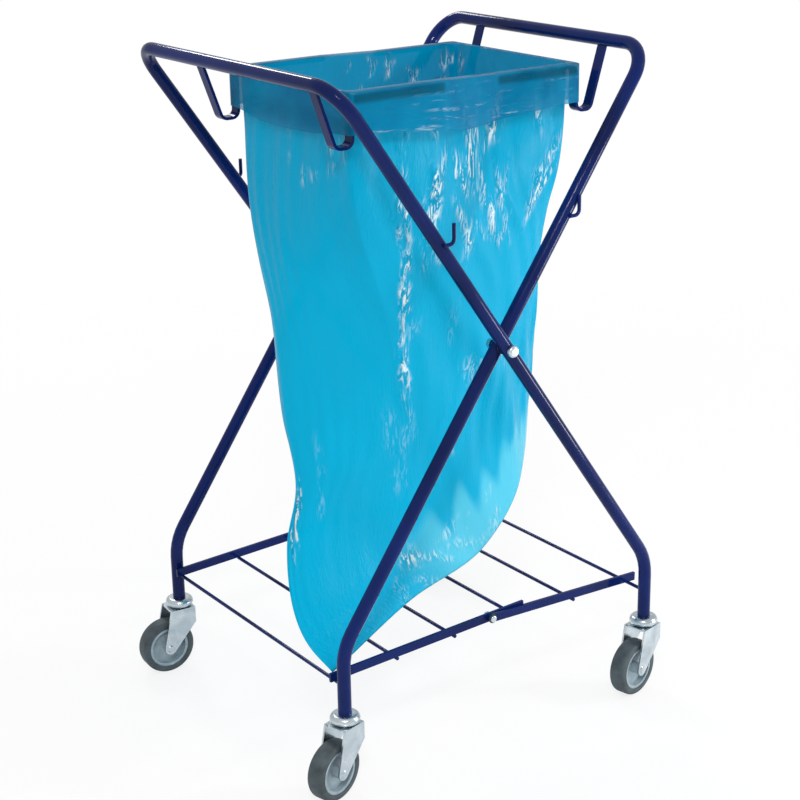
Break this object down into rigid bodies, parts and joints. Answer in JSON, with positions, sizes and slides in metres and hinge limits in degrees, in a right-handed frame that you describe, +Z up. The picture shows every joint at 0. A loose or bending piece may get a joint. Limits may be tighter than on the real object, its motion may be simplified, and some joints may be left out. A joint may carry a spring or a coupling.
{
  "type": "folding linen trolley",
  "caption": "Folding X-frame linen trolley of bent tube with a hinged wire rack, swivel castors, leg hooks and an open soft bag hung on bent strip arms.",
  "frame": {"origin": "on the floor under the middle of the crossing pivots", "axes": "X runs between the two handles, Y along the handles, Z up"},
  "size_m": [0.5858, 0.5272, 0.925],
  "materials": {
    "navy_paint": "gloss powder coat",
    "zinc": "bright zinc plate",
    "black_nylon": "moulded",
    "wheel_grey": "moulded",
    "rubber": "smooth grey rubber",
    "film": "thin crinkled polythene film"
  },
  "bodies": {
    "inner_frame": {"frame_inner_tube": "navy_paint", "arm_inner_near": "navy_paint", "arm_inner_far": "navy_paint", "hooks_inner": "navy_paint", "pivot_bolts": "zinc", "pivot_spacers": "black_nylon", "pivot_nuts": "zinc", "castor_cup_in": "zinc", "castor_cup_if": "zinc", "castor_plug_in": "black_nylon", "castor_plug_if": "black_nylon", "bag": "film"},
    "outer_frame": {"frame_outer_tube": "navy_paint", "arm_outer_near": "navy_paint", "arm_outer_far": "navy_paint", "hooks_outer": "navy_paint", "castor_cup_on": "zinc", "castor_cup_of": "zinc", "castor_plug_on": "black_nylon", "castor_plug_of": "black_nylon"},
    "rack_left": {"rack_left_strips": "navy_paint", "rack_left_rods": "navy_paint", "rack_bolts": "zinc", "rack_washers": "black_nylon", "rack_nuts": "zinc"},
    "rack_right": {"rack_right_strips": "navy_paint", "rack_right_rods": "navy_paint"},
    "swivel_in": {"castor_fork_in": "zinc", "castor_axle_in": "zinc"},
    "wheel_in": {"castor_wheel_in": "wheel_grey", "castor_tyre_in": "rubber"},
    "swivel_if": {"castor_fork_if": "zinc", "castor_axle_if": "zinc"},
    "wheel_if": {"castor_wheel_if": "wheel_grey", "castor_tyre_if": "rubber"},
    "swivel_on": {"castor_fork_on": "zinc", "castor_axle_on": "zinc"},
    "wheel_on": {"castor_wheel_on": "wheel_grey", "castor_tyre_on": "rubber"},
    "swivel_of": {"castor_fork_of": "zinc", "castor_axle_of": "zinc"},
    "wheel_of": {"castor_wheel_of": "wheel_grey", "castor_tyre_of": "rubber"}
  },
  "joints": [
    {"name": "fold", "type": "hinge", "parent": "inner_frame", "child": "outer_frame", "pos_m": [0, 0, 0.5585], "axis": [0, 1, 0], "range_deg": [0, 35], "deforming": ["bag"]},
    {"name": "rack_left_fold", "type": "hinge", "parent": "inner_frame", "child": "rack_left", "pos_m": [-0.25, 0, 0.15], "axis": [0, -1, 0], "range_deg": [0, 40.99]},
    {"name": "rack_mid_fold", "type": "hinge", "parent": "rack_left", "child": "rack_right", "pos_m": [0, 0, 0.16811], "axis": [0, 1, 0], "range_deg": [0, 116.89]},
    {"name": "swivel_in", "type": "hinge", "parent": "inner_frame", "child": "swivel_in", "pos_m": [-0.25, -0.22, 0.105], "axis": [0, 0, 1], "continuous": true},
    {"name": "roll_in", "type": "hinge", "parent": "swivel_in", "child": "wheel_in", "pos_m": [-0.27415, -0.22647, 0.04], "axis": [0.2588, -0.9659, 0], "continuous": true},
    {"name": "swivel_if", "type": "hinge", "parent": "inner_frame", "child": "swivel_if", "pos_m": [-0.25, 0.22, 0.105], "axis": [0, 0, 1], "continuous": true},
    {"name": "roll_if", "type": "hinge", "parent": "swivel_if", "child": "wheel_if", "pos_m": [-0.2749, 0.22218, 0.04], "axis": [-0.0872, -0.9962, 0], "continuous": true},
    {"name": "swivel_on", "type": "hinge", "parent": "outer_frame", "child": "swivel_on", "pos_m": [0.25, -0.241, 0.105], "axis": [0, 0, 1], "continuous": true},
    {"name": "roll_on", "type": "hinge", "parent": "swivel_on", "child": "wheel_on", "pos_m": [0.22555, -0.2462, 0.04], "axis": [0.2079, -0.9781, 0], "continuous": true},
    {"name": "swivel_of", "type": "hinge", "parent": "outer_frame", "child": "swivel_of", "pos_m": [0.25, 0.241, 0.105], "axis": [0, 0, 1], "continuous": true},
    {"name": "roll_of", "type": "hinge", "parent": "swivel_of", "child": "wheel_of", "pos_m": [0.2251, 0.23882, 0.04], "axis": [0.0872, -0.9962, 0], "continuous": true}
  ],
  "couplings": [
    {"joint": "rack_left_fold", "follows": "fold", "ratio": 1.1684},
    {"joint": "rack_mid_fold", "follows": "fold", "ratio": 3.3369}
  ]
}
